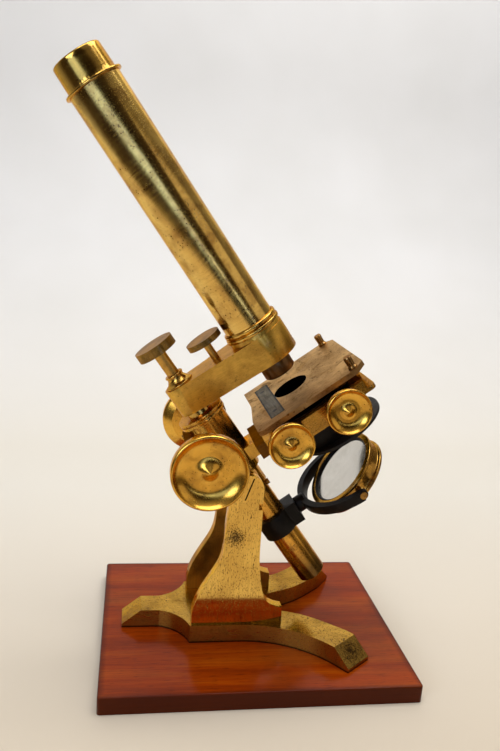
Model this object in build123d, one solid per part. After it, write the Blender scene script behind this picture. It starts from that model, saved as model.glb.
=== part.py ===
from build123d import *
import math
import os

os.makedirs("parts", exist_ok=True)

# Millimetres. +Z up, +X towards the stage and mirror, +Y away from the viewer,
# origin under the board's centre.

# Fits
RUN = 0.05  # radial clearance of a shaft in its hole
SLIDE = 0.05  # gap between flat sliding faces

# Board, foot and uprights
BOARD_W = 225.0
BOARD_D = 184.0
BOARD_T = 13.0
FOOT_T = 14.0
TOE_REACH = 98.0  # single toe, from the board's centre
TOE_HALF = 10.6
WAIST_X = 48.2
WAIST_HALF = 33.0
SPREAD_REACH = 97.3  # paired toes, along their own direction
SPREAD_ANGLE = 52.4
SPREAD_SIDE = 15.7  # sideways shift of a paired toe's end
SPREAD_HALF = 12.3
CROTCH_X = 12.0
BEVEL_RUN = 14.0
BEVEL_LOW = 3.0
UPRIGHT_T = 9.0
UPRIGHT_LEDGE = 2.0
UPRIGHT_TOP_R = 10.6
UPRIGHT_SPREAD = 36.4  # trunnion to the plate's left foot
TRUNNION_X = -10.9
TRUNNION_H = 120.8  # above the board
TRUNNION_HEAD_R = 8.8
TRUNNION_PIN_R = 5.0
INCLINE = 36.8  # of the tube from upright, degrees

# Limb and coarse focus
SLEEVE_R = 16.0
SLEEVE_TOP = 60.8
RING_R = 18.0
LIMB_FOOT_R = 13.0
STEM_R = 9.0
TAIL_R = 11.0
TAIL_WALL = 1.5
TAIL_END = -100.3
PINION_X = -12.0
PINION_Z = 39.8
COARSE_MODULE = 0.8
COARSE_TEETH = 12
COARSE_SHAFT_R = 3.0
COARSE_KNOB_R = 26.4
COARSE_KNOB_Y = 66.7
KNOB_DEPTH = 0.44  # of a dished knob, lip to back, for its radius
RACK_HALF = 4.2

# Arm, tube and eyepiece
OPTIC_X = 66.0  # optical axis from the stem's axis
ARM_Z = 64.9
ARM_H = 22.0
ARM_REAR_R = 12.3
ARM_FRONT_R = 21.0
BOSS_R = 20.4  # raised seat under the tube
BOSS_H = 3.1
PIVOT_R = 8.0
CLAMP_HEAD_R = 15.0
CLAMP_HEAD_H = 7.0
CLAMP_GROOVES = 44
CLAMP_SHAFT_R = 4.6
CLAMP_RISE = 27.4  # arm's top to the underside of the head
FINE_X = 31.8
FINE_HEAD_R = 13.4
FINE_HEAD_H = 4.4
FINE_GROOVES = 48
FINE_SHAFT_R = 2.9
FINE_RISE = 14.3
TUBE_R = 19.0
TUBE_WALL = 1.5
TUBE_TOP = 284.0
CAP_R = 18.2
CAP_H = 19.0
FLANGE_R = 21.2
NOSE_R = 12.95
OBJECTIVE_R = 12.2
OBJECTIVE_END = 51.7

# Stage
STAGE_TOP = 37.9
PLATE_T = 3.8
PLATE_X0 = 32.8
PLATE_X1 = 115.9
PLATE_HALF = 47.0
INSET_EDGE = 8.2  # plate's left edge to the steel inset
INSET_HALF = 37.0
APERTURE_R = 13.5
PIN_R = 3.0
PIN_H = 9.2
BASE_Z = 13.5
BASE_T = 7.5
BASE_X1 = 114.4
BASE_HALF = 46.0
XSLIDE_T = 6.6
XSLIDE_X0 = 36.5
XSLIDE_X1 = 108.0
X_TRAVEL = 8.0
Y_TRAVEL = 9.0
STAGE_KNOB_R = 15.8
STAGE_KNOB_Y = 66.0
X_PINION_X = 87.0
X_MODULE = 0.6
X_TEETH = 12
X_SHAFT_R = 2.0
Y_SCREW_X = 42.7
Y_SCREW_R = 2.5
CARRIER_R = 25.0
CARRIER_OFFSET = 6.0
CARRIER_WALL = 3.0
WHEEL_R = 34.8
WHEEL_OFFSET = 14.4
WHEEL_TOP = -8.3
WHEEL_T = 2.5

# Mirror
MIRROR_X = 65.8
MIRROR_Z = -45.9
MIRROR_TILT = 19.6
GIMBAL_TURN = 4.4
GLASS_R = 26.0  # as seen inside the bezel
CELL_HALF_T = 6.8
CELL_RIM = 2.2
GIMBAL_IN = 36.4
GIMBAL_OUT = 41.3
GIMBAL_H = 7.8
GIMBAL_HUB_R = 6.4
COLLAR_R = 14.0
COLLAR_H = 17.2
COLLAR_BOSS_X = 19.8

# Sizes that follow from the others
BASE_TOP = BASE_Z + BASE_T
XSLIDE_Z = BASE_TOP + SLIDE
XSLIDE_TOP = XSLIDE_Z + XSLIDE_T
PLATE_Z = STAGE_TOP - PLATE_T
ARM_TOP = ARM_Z + ARM_H
BOSS_TOP = ARM_TOP + BOSS_H
FOOT_Z = BOARD_T
UPRIGHT_Z = BOARD_T + FOOT_T
TRUNNION_Z = BOARD_T + TRUNNION_H
UPRIGHT_OUT = WAIST_HALF - UPRIGHT_LEDGE
UPRIGHT_IN = UPRIGHT_OUT - UPRIGHT_T
X_PINION_Z = BASE_TOP + 0.3
Y_SCREW_Z = XSLIDE_Z + 0.4 * XSLIDE_T
BRACKET_X0 = SLEEVE_R + 4.2
BRACKET_X1 = BRACKET_X0 + 7.6
BRACKET_Z0 = BASE_Z - 3.3
BRACKET_Z1 = BASE_TOP
RAIL_X0 = Y_SCREW_X + Y_SCREW_R + X_TRAVEL + 4
RAIL_LEFT = Y_SCREW_X + 6.6
RAIL_RIGHT = OPTIC_X + APERTURE_R + 11
APRON_X0 = 57.0
APRON_Y = -BASE_HALF + 5
X_LUG_Y = APRON_Y + 13.2
X_RACK_Y0 = APRON_Y + 2.6
X_RACK_Y1 = APRON_Y + 10.6
NUT_HALF = 6.0
STAGE_SCREW_Y = 7.0
TUBE_SEAT = BOSS_TOP - 10
CLAMP_SEAT = ARM_TOP + 8.3
LEVER_X = FINE_X + 13
LEVER_Z = ARM_Z + 11
NOSE_TOP = TUBE_SEAT - 1
SPRING_STOP = BOSS_TOP + 6
EYE_LENS_R = CAP_R - 5
CELL_R = GLASS_R + 6.2
GLASS_T = 2.6
GLASS_SEAT = CELL_HALF_T - CELL_RIM - GLASS_T
GIMBAL_STEM_R = 3.4
LIMB = Pos(TRUNNION_X, 0, TRUNNION_Z) * Rot(0, -INCLINE, 0)


# Shared shapes

def rod(radius, z0, z1, x=0.0, y=0.0):
    return Pos(x, y, (z0 + z1) / 2) * Cylinder(radius, z1 - z0)


def rod_y(radius, y0, y1, x=0.0, z=0.0):
    return Pos(x, (y0 + y1) / 2, z) * Rot(90, 0, 0) * Cylinder(radius, y1 - y0)


def rod_x(radius, x0, x1, y=0.0, z=0.0):
    return Pos((x0 + x1) / 2, y, z) * Rot(0, 90, 0) * Cylinder(radius, x1 - x0)


def block(x0, x1, y0, y1, z0, z1):
    centre = Pos((x0 + x1) / 2, (y0 + y1) / 2, (z0 + z1) / 2)
    return centre * Box(x1 - x0, y1 - y0, z1 - z0)


def turned(points):
    outline = Polyline([(r, 0, z) for r, z in points], close=True)
    return revolve(make_face(outline), Axis.Z)


def prism_y(points, y0, y1):
    outline = Polyline([(x, y0, z) for x, z in points], close=True)
    return extrude(make_face(outline), y1 - y0, dir=(0, 1, 0))


def prism_x(points, x0, x1):
    outline = Polyline([(x0, y, z) for y, z in points], close=True)
    return extrude(make_face(outline), x1 - x0, dir=(1, 0, 0))


def milled_head(radius, height, grooves):
    depth = radius * math.pi / grooves * 0.45
    ring = PolarLocations(radius + depth * 0.4, grooves) * Circle(depth)
    return extrude(Circle(radius) - ring, height)


def dish_knob(radius, shaft_radius, hub_length):
    # Turned dish about +Z with its lip at zero: flat floor, steep wall, pointed finial, hub behind.
    lip = 0.06 * radius
    floor = -0.24 * radius
    flat_r = 0.51 * radius
    band = -0.24 * radius
    back = -KNOB_DEPTH * radius
    hub = back - hub_length
    hub_r = 2.0 * shaft_radius
    rim_r = radius - lip
    run = rim_r - flat_r
    bowl = (run ** 2 + floor ** 2) / (-2 * floor)
    half = math.asin(run / bowl) / 2
    sag = (flat_r + bowl * math.sin(half), 0, floor + bowl * (1 - math.cos(half)))
    finial = [(0, -0.01), (0.045, -0.085), (0.14, -0.13), (0.2, -0.195), (0.29, -0.24)]
    points = [(r * radius, 0, z * radius) for r, z in finial]
    outline = [
        Spline(*points, tangents=((0.4, 0, -1), (1, 0, 0))),
        Line(points[-1], (flat_r, 0, floor)),
        ThreePointArc((flat_r, 0, floor), sag, (rim_r, 0, 0)),
        ThreePointArc((rim_r, 0, 0), (radius - 0.3 * lip, 0, -0.3 * lip), (radius, 0, -lip)),
        Line((radius, 0, -lip), (radius, 0, band)),
        Line((radius, 0, band), (0.72 * radius, 0, back)),
        Line((0.72 * radius, 0, back), (hub_r, 0, back)),
        Line((hub_r, 0, back), (hub_r, 0, hub)),
        Line((hub_r, 0, hub), (0, 0, hub)),
        Line((0, 0, hub), points[0]),
    ]
    solid = revolve(make_face(outline), Axis.Z)
    return solid - rod(shaft_radius, hub - 1, back)


def gear(module, teeth, width):
    # Straight-flanked spur gear about +Y, one tooth along +X, with room at the flanks.
    pitch_r = module * teeth / 2
    step = 2 * math.pi / teeth
    corners = []
    for i in range(teeth):
        middle = i * step
        for share, r in ((-0.29, -1.15), (-0.11, 0.85), (0.11, 0.85), (0.29, -1.15)):
            angle = middle + share * step
            reach = pitch_r + r * module
            corners.append((reach * math.cos(angle), reach * math.sin(angle)))
    return prism_y(corners, -width / 2, width / 2)


def rack_profile(module, low, high, centre, back):
    # Side outline of a rack along its length: tips at -0.85 module from the pitch line, a gap at centre.
    pitch = math.pi * module
    first = math.ceil((low - centre) / pitch) + 1
    last = math.floor((high - centre) / pitch) - 1
    corners = [(low, back), (low, module * 1.15)]
    for i in range(first, last):
        middle = centre + (i + 0.5) * pitch
        for share, depth in ((-0.29, 1.15), (-0.11, -0.85), (0.11, -0.85), (0.29, 1.15)):
            corners.append((middle + share * pitch, module * depth))
    return corners + [(high, module * 1.15), (high, back)]


# Board

def base_board():
    slab = block(-BOARD_W / 2, BOARD_W / 2, -BOARD_D / 2, BOARD_D / 2, 0, BOARD_T)
    slab = fillet(slab.edges().filter_by(Axis.Z), 2.5)
    slab = fillet(slab.faces().sort_by(Axis.Z)[-1].edges(), 1.2)
    return slab - stand_screws()


# Foot: cast tripod with concave sides and bevelled toes

def spread_points():
    out = Vector(math.cos(math.radians(SPREAD_ANGLE)), -math.sin(math.radians(SPREAD_ANGLE)))
    side = Vector(-out.Y, out.X)
    middle = out * SPREAD_REACH + side * SPREAD_SIDE
    outer = middle - side * SPREAD_HALF
    inner = middle + side * SPREAD_HALF
    return (outer.X, outer.Y), (inner.X, inner.Y), (out.X, out.Y)


def foot():
    outer, inner, out = spread_points()
    start = (-WAIST_X - 21.8, -TOE_HALF)
    waist = (-WAIST_X, -WAIST_HALF)
    bend = (-WAIST_X - 7.3, -0.5 * WAIST_HALF - 0.3 * TOE_HALF)
    neck = (outer[0] - 14 * out[0], outer[1] - 14 * out[1])
    knee = (inner[0] - 21 * out[0], inner[1] - 21 * out[1])
    side = (0.45 * neck[0] + 3.5, -WAIST_HALF - 0.31 * (abs(neck[1]) - WAIST_HALF))
    outline = [
        Line((CROTCH_X, 0), (-TOE_REACH, 0)),
        Line((-TOE_REACH, 0), (-TOE_REACH, -TOE_HALF)),
        Line((-TOE_REACH, -TOE_HALF), start),
        ThreePointArc(start, bend, waist),
        Line(waist, (-8, -WAIST_HALF)),
        ThreePointArc((-8, -WAIST_HALF), side, neck),
        Line(neck, outer),
        Line(outer, inner),
        Line(inner, knee),
        Spline(knee, (0.5 * (knee[0] + CROTCH_X) - 10, 0.38 * knee[1]), (CROTCH_X, 0),
               tangents=((-0.77, 0.64), (0, 1))),
    ]
    half = make_face(outline)
    solid = extrude(half + mirror(half, Plane.XZ), FOOT_T, dir=(0, 0, 1))
    for angle, reach in ((180, TOE_REACH), (-SPREAD_ANGLE, SPREAD_REACH), (SPREAD_ANGLE, SPREAD_REACH)):
        wedge = [
            (reach - BEVEL_RUN, FOOT_T),
            (reach, BEVEL_LOW),
            (reach + 9, BEVEL_LOW),
            (reach + 9, FOOT_T + 1),
            (reach - BEVEL_RUN, FOOT_T + 1),
        ]
        solid -= Rot(0, 0, angle) * prism_y(wedge, -WAIST_HALF - 1, WAIST_HALF + 1)
    solid = Pos(0, 0, FOOT_Z) * solid
    return solid - stand_screws()


def stand_screws():
    # Three up through the board into the foot, four up through the foot into the uprights.
    screw = rod(4.0, 0, 2.8) + rod(2.1, 2.8, BOARD_T + 0.5 * FOOT_T)
    middle = (UPRIGHT_IN + UPRIGHT_OUT) / 2
    reach = (0.514 * SPREAD_REACH, 0.452 * SPREAD_REACH)
    board = [(-0.735 * TOE_REACH, 0.0), (reach[0], -reach[1]), reach]
    ends = (TRUNNION_X - 0.607 * UPRIGHT_SPREAD, TRUNNION_X + 0.519 * UPRIGHT_SPREAD)
    plates = [(x, y) for x in ends for y in (-middle, middle)]
    return [Pos(x, y, 0) * screw for x, y in board] + [Pos(x, y, FOOT_Z) * screw for x, y in plates]


# Uprights: flared plates with a rounded top, each holding a trunnion screw

def upright(sign):
    rise = TRUNNION_Z - UPRIGHT_Z
    # Edge points as shares of the spread and of the rise.
    left = (
        (-1.0, 0.052), (-0.9615, 0.145), (-0.8571, 0.234), (-0.6154, 0.379),
        (-0.478, 0.481), (-0.4286, 0.609), (-0.3901, 0.843),
    )
    right = (
        (0.3022, 0.69), (0.3269, 0.43), (0.3929, 0.29), (0.4725, 0.2),
        (0.5604, 0.159), (0.6676, 0.136), (0.8599, 0.118),
    )
    y0 = min(sign * UPRIGHT_IN, sign * UPRIGHT_OUT)

    def at(across, up):
        return (TRUNNION_X + across * UPRIGHT_SPREAD, y0, UPRIGHT_Z + up * rise)

    cos_l, sin_l = math.cos(math.radians(168)), math.sin(math.radians(168))
    join = (TRUNNION_X + UPRIGHT_TOP_R * cos_l, y0, TRUNNION_Z + UPRIGHT_TOP_R * sin_l)
    crown = (TRUNNION_X, y0, TRUNNION_Z + UPRIGHT_TOP_R)
    shoulder = (TRUNNION_X + UPRIGHT_TOP_R, y0, TRUNNION_Z)
    left_edge = [at(*p) for p in left] + [join]
    right_edge = [shoulder] + [at(*p) for p in right]
    outline = [
        Line(at(-0.9945, 0), left_edge[0]),
        Spline(*left_edge),
        ThreePointArc(join, crown, shoulder),
        Line(right_edge[0], right_edge[1]),
        Spline(*right_edge[1:]),
        Line(right_edge[-1], at(0.8709, 0)),
        Line(at(0.8709, 0), at(-0.9945, 0)),
    ]
    plate = extrude(make_face(outline), UPRIGHT_T, dir=(0, 1, 0))
    notch_z = TRUNNION_Z - 13.2
    plate -= block(TRUNNION_X + 7.8, TRUNNION_X + 13, y0, y0 + UPRIGHT_T, notch_z - 2.6, notch_z + 2.6)
    return plate - trunnion_screw(sign, False) - stand_screws()


def trunnion_screw(sign, slotted):
    head = sorted((sign * UPRIGHT_OUT, sign * (UPRIGHT_OUT - 3.5)))
    thread = sorted((sign * (UPRIGHT_OUT - 3.5), sign * UPRIGHT_IN))
    pin = sorted((sign * UPRIGHT_IN, sign * (UPRIGHT_IN - 10)))
    at = {"x": TRUNNION_X, "z": TRUNNION_Z}
    screw = rod_y(TRUNNION_HEAD_R, *head, **at) + rod_y(6.0, *thread, **at)
    screw += rod_y(TRUNNION_PIN_R, *pin, **at)
    if slotted:
        slot = Box(1.0, 2.4, 2 * TRUNNION_HEAD_R + 1)
        screw -= Pos(TRUNNION_X, sign * UPRIGHT_OUT, TRUNNION_Z) * Rot(0, 18.3, 0) * slot
    return screw


# Limb: ringed sleeve with trunnion arms, a half bearing for the pinion and a lug for the stage
# Pieces from here on are drawn with the limb upright and the trunnion at the origin.

def pinion_room():
    tip_r = COARSE_MODULE * (COARSE_TEETH / 2 + 0.85)
    room = rod_y(tip_r + 0.7, -RACK_HALF - 1, RACK_HALF + 1, PINION_X, PINION_Z)
    return room + rod_y(COARSE_SHAFT_R + RUN, -30, 30, PINION_X, PINION_Z)


def pinion_house(x0, x1):
    return block(x0, x1, -14, 14, PINION_Z - 11, PINION_Z + 11)


def limb():
    socket_top = 22.0
    body = rod(SLEEVE_R, 4, SLEEVE_TOP - 4.6) + rod(LIMB_FOOT_R, -11, 4)
    body += rod(RING_R, SLEEVE_TOP - 5.4, SLEEVE_TOP - 3.0)
    body += rod(SLEEVE_R + 0.8, SLEEVE_TOP - 3.0, SLEEVE_TOP - 2.2)
    body += rod(RING_R, SLEEVE_TOP - 2.2, SLEEVE_TOP)
    body += rod_y(10.0, -UPRIGHT_IN + 0.4, UPRIGHT_IN - 0.4)
    body += pinion_house(PINION_X, 0)
    body -= pinion_house(PINION_X - 20, PINION_X)
    body += block(0, BRACKET_X0, -11, 11, BRACKET_Z0, BRACKET_Z1)
    body -= rod(STEM_R + RUN, socket_top - 1, SLEEVE_TOP + 1)
    body -= rod(TAIL_R, -12, socket_top)
    body -= pinion_room()
    for sign in (-1, 1):
        ends = sorted((sign * UPRIGHT_IN, sign * (UPRIGHT_IN - 10.5)))
        body -= rod_y(TRUNNION_PIN_R + RUN, *ends)
    return body - pinion_cap_screws() - stage_screws()


def pinion_cap():
    return pinion_house(PINION_X - 9, PINION_X) - pinion_room() - pinion_cap_screws()


def pinion_cap_screws():
    back = PINION_X - 9
    head = rod_x(2.3, back - 1.6, back, 0, PINION_Z)
    screw = head + rod_x(1.3, back, PINION_X + 3, 0, PINION_Z)
    return [Pos(0, y, z) * screw for y in (-10.5, 10.5) for z in (-7.5, 7.5)]


def tail_tube():
    tube = rod(TAIL_R, TAIL_END, 22) - rod(TAIL_R - TAIL_WALL, TAIL_END - 1, 23)
    return tube - collar_stop_screw()


def tail_plug():
    return rod(TAIL_R - TAIL_WALL, TAIL_END, TAIL_END + 5)


def collar_stop_screw():
    z = -15.4
    return rod_x(2.2, TAIL_R, TAIL_R + 2.2, 0, z) + rod_x(1.2, TAIL_R - 1.2, TAIL_R, 0, z)


# Coarse focus: racked stem and its pinion with two dished knobs

def rack_pitch_x():
    return PINION_X + COARSE_MODULE * COARSE_TEETH / 2


def rack_points():
    back = 2.8
    profile = rack_profile(COARSE_MODULE, -8.0, 52.0, PINION_Z, back)
    return [(rack_pitch_x() + depth, along) for along, depth in profile]


def rack():
    return prism_y(rack_points(), -RACK_HALF + 0.1, RACK_HALF - 0.1)


def stem():
    bar = rod(STEM_R, -40, ARM_Z - SLIDE) + rod(PIVOT_R, ARM_Z - SLIDE, ARM_TOP - 2)
    floor = rack_pitch_x() + 2.8
    bar -= block(-STEM_R - 1, floor, -RACK_HALF + 0.1, RACK_HALF - 0.1, -8, 52)
    return bar - rod(3.0 + RUN, ARM_TOP - 21, ARM_TOP)


def coarse_pinion():
    reach = COARSE_KNOB_Y - KNOB_DEPTH * COARSE_KNOB_R
    wheel = gear(COARSE_MODULE, COARSE_TEETH, 2 * RACK_HALF - 0.8)
    return Pos(PINION_X, 0, PINION_Z) * (wheel + rod_y(COARSE_SHAFT_R, -reach, reach))


def coarse_knob(sign):
    knob = dish_knob(COARSE_KNOB_R, COARSE_SHAFT_R, 5.0)
    return Pos(PINION_X, sign * COARSE_KNOB_Y, PINION_Z) * Rot(-90 * sign, 0, 0) * knob


# Arm: tapered bar between the stem's boss and the tube's boss

def arm_plan():
    slant = math.asin((ARM_FRONT_R - ARM_REAR_R) / OPTIC_X)
    nx, ny = -math.sin(slant), math.cos(slant)
    flank = Polygon(
        (ARM_REAR_R * nx, ARM_REAR_R * ny),
        (ARM_REAR_R * nx, -ARM_REAR_R * ny),
        (OPTIC_X + ARM_FRONT_R * nx, -ARM_FRONT_R * ny),
        (OPTIC_X + ARM_FRONT_R * nx, ARM_FRONT_R * ny),
        align=None,
    )
    return flank + Circle(ARM_REAR_R) + Pos(OPTIC_X, 0) * Circle(ARM_FRONT_R)


def arm():
    bar = Pos(0, 0, ARM_Z) * extrude(arm_plan(), ARM_H)
    bar += rod(BOSS_R, ARM_TOP, BOSS_TOP, OPTIC_X)
    bar -= rod(PIVOT_R + RUN, ARM_Z - 1, ARM_TOP - 1.9)
    bar -= rod(4.0, ARM_TOP - 2, ARM_TOP + 1)
    bar -= rod(NOSE_R + RUN, ARM_Z - 1, TUBE_SEAT + 1, OPTIC_X)
    bar -= rod(TUBE_R, TUBE_SEAT, BOSS_TOP + 1, OPTIC_X)
    bar -= block(22, OPTIC_X - 11, -3.2, 3.2, ARM_Z - 1, ARM_Z + 16)
    bar -= lever_cover()
    bar -= rod(FINE_SHAFT_R - 0.4 + RUN, ARM_Z + 15, ARM_TOP + 1, FINE_X)
    return bar - lever_pin()


def lever_cover():
    return block(20, OPTIC_X - 15, -5, 5, ARM_Z, ARM_Z + 2)


def lever_pin():
    return rod_y(1.5, -12, ARM_REAR_R + 2, LEVER_X, LEVER_Z)


def clamp_collar():
    z0, z1 = ARM_TOP, CLAMP_SEAT
    profile = [
        (4.0, z0), (ARM_REAR_R - 1.6, z0), (ARM_REAR_R - 1.6, z0 + 1.0), (8.4, z0 + 2.2), (6.7, z0 + 4.6),
        (6.1, z1 - 1.8), (7.0, z1 - 1.4), (7.0, z1 - 0.3), (6.6, z1), (4.0, z1),
    ]
    return turned(profile)


def arm_clamp_screw():
    seat = CLAMP_SEAT + SLIDE
    under = ARM_TOP + CLAMP_RISE
    screw = rod(CLAMP_SHAFT_R, seat, under) + rod(3.0, ARM_TOP - 20, seat)
    head = Pos(0, 0, under) * milled_head(CLAMP_HEAD_R, CLAMP_HEAD_H, CLAMP_GROOVES)
    return screw + head


def body_tube():
    inner = TUBE_R - TUBE_WALL
    tube = rod(TUBE_R, TUBE_SEAT, TUBE_TOP, OPTIC_X) - rod(inner, TUBE_SEAT - 1, TUBE_TOP + 1, OPTIC_X)
    stop = rod(inner, SPRING_STOP, SPRING_STOP + 2, OPTIC_X)
    stop -= rod(9.5, SPRING_STOP - 1, SPRING_STOP + 3, OPTIC_X)
    return tube + stop


def tube_collar():
    r0, z0 = TUBE_R, BOSS_TOP
    profile = [
        (r0, z0), (r0 + 2.4, z0), (r0 + 2.4, z0 + 2.6), (r0 + 1.0, z0 + 3.1), (r0 + 1.0, z0 + 3.6),
        (r0 + 1.9, z0 + 3.9), (r0 + 1.9, z0 + 6.0), (r0 + 0.7, z0 + 6.6), (r0, z0 + 6.6),
    ]
    return Pos(OPTIC_X, 0, 0) * turned(profile)


# Fine focus: screw, lever and sprung nosepiece

def fine_screw():
    under = ARM_TOP + FINE_RISE
    screw = rod(FINE_SHAFT_R, ARM_TOP + 0.3, under) + rod(FINE_SHAFT_R - 0.4, LEVER_Z + 2.4, ARM_TOP + 0.3)
    head = Pos(0, 0, under) * milled_head(FINE_HEAD_R, FINE_HEAD_H, FINE_GROOVES)
    return Pos(FINE_X, 0, 0) * (screw + head)


def fine_lever():
    bar = block(FINE_X - 5, OPTIC_X - 11.2, -2.4, 2.4, LEVER_Z - 1.2, LEVER_Z + 1.2)
    bar += rod_y(3.0, -2.4, 2.4, LEVER_X, LEVER_Z)
    return bar - rod_y(1.5 + RUN, -4, 4, LEVER_X, LEVER_Z)


def nose_tube():
    low = ARM_Z - 0.7
    tube = rod(NOSE_R, low, NOSE_TOP, OPTIC_X)
    tube -= rod(9.0, low - 1, low + 6, OPTIC_X) + rod(9.6, low + 5.9, NOSE_TOP + 1, OPTIC_X)
    return tube - block(OPTIC_X - 14, OPTIC_X - 9, -3.2, 3.2, LEVER_Z - 2.2, LEVER_Z + 2.2)


def nose_spring():
    wire = 0.5
    radius = 11.3
    height = SPRING_STOP - NOSE_TOP - 2.2
    path = Pos(OPTIC_X, 0, NOSE_TOP + wire + 0.02) * Helix(pitch=height / 5, height=height, radius=radius)
    section = Plane(path @ 0, z_dir=path % 0) * Circle(wire)
    return sweep(section, path)


def objective():
    top = ARM_Z - 0.7
    profile = [
        (3.2, OBJECTIVE_END), (OBJECTIVE_R - 1.2, OBJECTIVE_END), (OBJECTIVE_R, OBJECTIVE_END + 1.2),
        (OBJECTIVE_R, top), (9.0, top), (9.0, top + 5), (7.0, top + 5), (7.0, OBJECTIVE_END + 4.5),
        (4.5, OBJECTIVE_END + 4.5), (4.5, OBJECTIVE_END + 0.8), (3.2, OBJECTIVE_END + 0.8),
    ]
    return Pos(OPTIC_X, 0, 0) * turned(profile)


def objective_lens():
    return rod(4.5, OBJECTIVE_END + 0.8, OBJECTIVE_END + 3.2, OPTIC_X)


# Eyepiece: flanged cap with an inner tube and two lenses

def eyepiece_cap():
    z0 = TUBE_TOP + SLIDE
    top = TUBE_TOP + 2 + CAP_H
    bore = TUBE_R - TUBE_WALL - 1.6
    profile = [
        (bore, z0), (FLANGE_R, z0), (FLANGE_R, z0 + 1.6), (CAP_R, z0 + 2), (CAP_R - 0.5, top - 0.8),
        (CAP_R - 1.4, top), (6.5, top), (5.0, top - 1.5), (5.0, top - 4), (EYE_LENS_R, top - 4),
        (EYE_LENS_R, top - 11), (bore, top - 11),
    ]
    return Pos(OPTIC_X, 0, 0) * turned(profile)


def eyepiece_tube():
    outer = TUBE_R - TUBE_WALL - 0.1
    bore = TUBE_R - TUBE_WALL - 1.6
    z0, z1 = TUBE_TOP - 48, TUBE_TOP + SLIDE
    top = TUBE_TOP + 2 + CAP_H - 11
    tube = rod(outer, z0, z1, OPTIC_X) + rod(bore, z1, top, OPTIC_X)
    return tube - rod(bore - 1.2, z0 - 1, top + 1, OPTIC_X)


def dome_lens(radius, z0, edge, crown):
    ball = (radius ** 2 + crown ** 2) / (2 * crown)
    blank = rod(radius, z0 - crown, z0 + edge)
    return Pos(OPTIC_X, 0, 0) * (blank & Pos(0, 0, z0 - crown + ball) * Sphere(ball))


def eye_lens():
    return dome_lens(EYE_LENS_R, TUBE_TOP + 2 + CAP_H - 8, 4.0, 2.5)


def field_lens():
    return dome_lens(TUBE_R - TUBE_WALL - 2.8, TUBE_TOP - 44, 3.0, 2.5)


# Stage: bracket, fixed base with X rails, X slide with Y rails, and the top plate

def stage_bracket():
    body = block(BRACKET_X0, BRACKET_X1, -22.5, 22.5, BRACKET_Z0, BRACKET_Z1)
    body += block(BRACKET_X1, BRACKET_X1 + 14, -16, 16, BRACKET_Z0, BASE_Z)
    for y in (-STAGE_SCREW_Y, STAGE_SCREW_Y):
        body -= rod_x(2.8, BRACKET_X1 - 2.5, BRACKET_X1, y, (BRACKET_Z0 + BRACKET_Z1) / 2)
    return body - stage_screws()


def stage_screws():
    # Two into the limb's lug, two up into the stage base.
    screw = rod(2.8, 0, 1.8) + rod(1.7, 1.8, 9.5)
    middle = (BRACKET_Z0 + BRACKET_Z1) / 2
    screws = []
    for y in (-STAGE_SCREW_Y, STAGE_SCREW_Y):
        screws.append(Pos(BRACKET_X1 - 2.5, y, middle) * Rot(0, -90, 0) * screw)
        screws.append(Pos(BRACKET_X1 + 9, 1.6 * y, BRACKET_Z0) * screw)
    return screws


def x_rails(gap):
    rails = []
    for y in (-21.0, 33.0):
        wide, narrow = 3.4 + gap, 2.4 + gap
        top = BASE_TOP + 3.4 + 1.4 * gap
        profile = [(y - narrow, BASE_TOP - 0.5), (y + narrow, BASE_TOP - 0.5), (y + narrow, BASE_TOP),
                   (y + wide, top), (y - wide, top), (y - narrow, BASE_TOP)]
        x0 = RAIL_X0 - (X_TRAVEL + 2 if gap else 0)
        x1 = BASE_X1 + 30 if gap else BASE_X1 - 3
        rails.append(prism_x(profile, x0, x1))
    return rails


def stage_base():
    plate = block(BRACKET_X1 + 5, BASE_X1, -BASE_HALF, BASE_HALF, BASE_Z, BASE_TOP)
    plate = fillet(plate.edges().filter_by(Axis.Z), 4)
    plate += block(BRACKET_X1, BRACKET_X1 + 14, -22.5, 22.5, BASE_Z, BASE_TOP)
    plate += x_rails(0.0)
    plate += block(APRON_X0, XSLIDE_X1, -BASE_HALF, APRON_Y, BASE_Z, XSLIDE_TOP)
    bearing = X_SHAFT_R + 2.2
    plate -= block(X_PINION_X - 6, X_PINION_X + 6, APRON_Y, X_LUG_Y, BASE_TOP - 4.8, BASE_TOP + 1)
    lug_top = X_PINION_Z + bearing - 0.4
    plate += block(X_PINION_X - bearing, X_PINION_X + bearing, X_LUG_Y, X_LUG_Y + 3, BASE_TOP - 2, lug_top)
    plate -= rod_y(X_SHAFT_R + RUN, -BASE_HALF - 1, X_LUG_Y + 3, X_PINION_X, X_PINION_Z)
    plate -= rod(APERTURE_R + 1, BASE_Z - 1, BASE_TOP + 1, OPTIC_X)
    plate -= block(BASE_X1 - 15, BASE_X1 + 1, -BASE_HALF - 1, BASE_HALF + 1, BASE_Z - 1, BASE_TOP - 3)
    return plate - stage_screws()


def y_rail(x, gap):
    wide, narrow = 2.3 + gap, 1.5 + gap
    base, top = XSLIDE_TOP - 0.5, PLATE_Z - 0.4
    profile = [
        (x - narrow, base), (x + narrow, base), (x + narrow, XSLIDE_TOP),
        (x + wide, top), (x - wide, top), (x - narrow, XSLIDE_TOP),
    ]
    return prism_y(profile, -36, 42)


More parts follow.
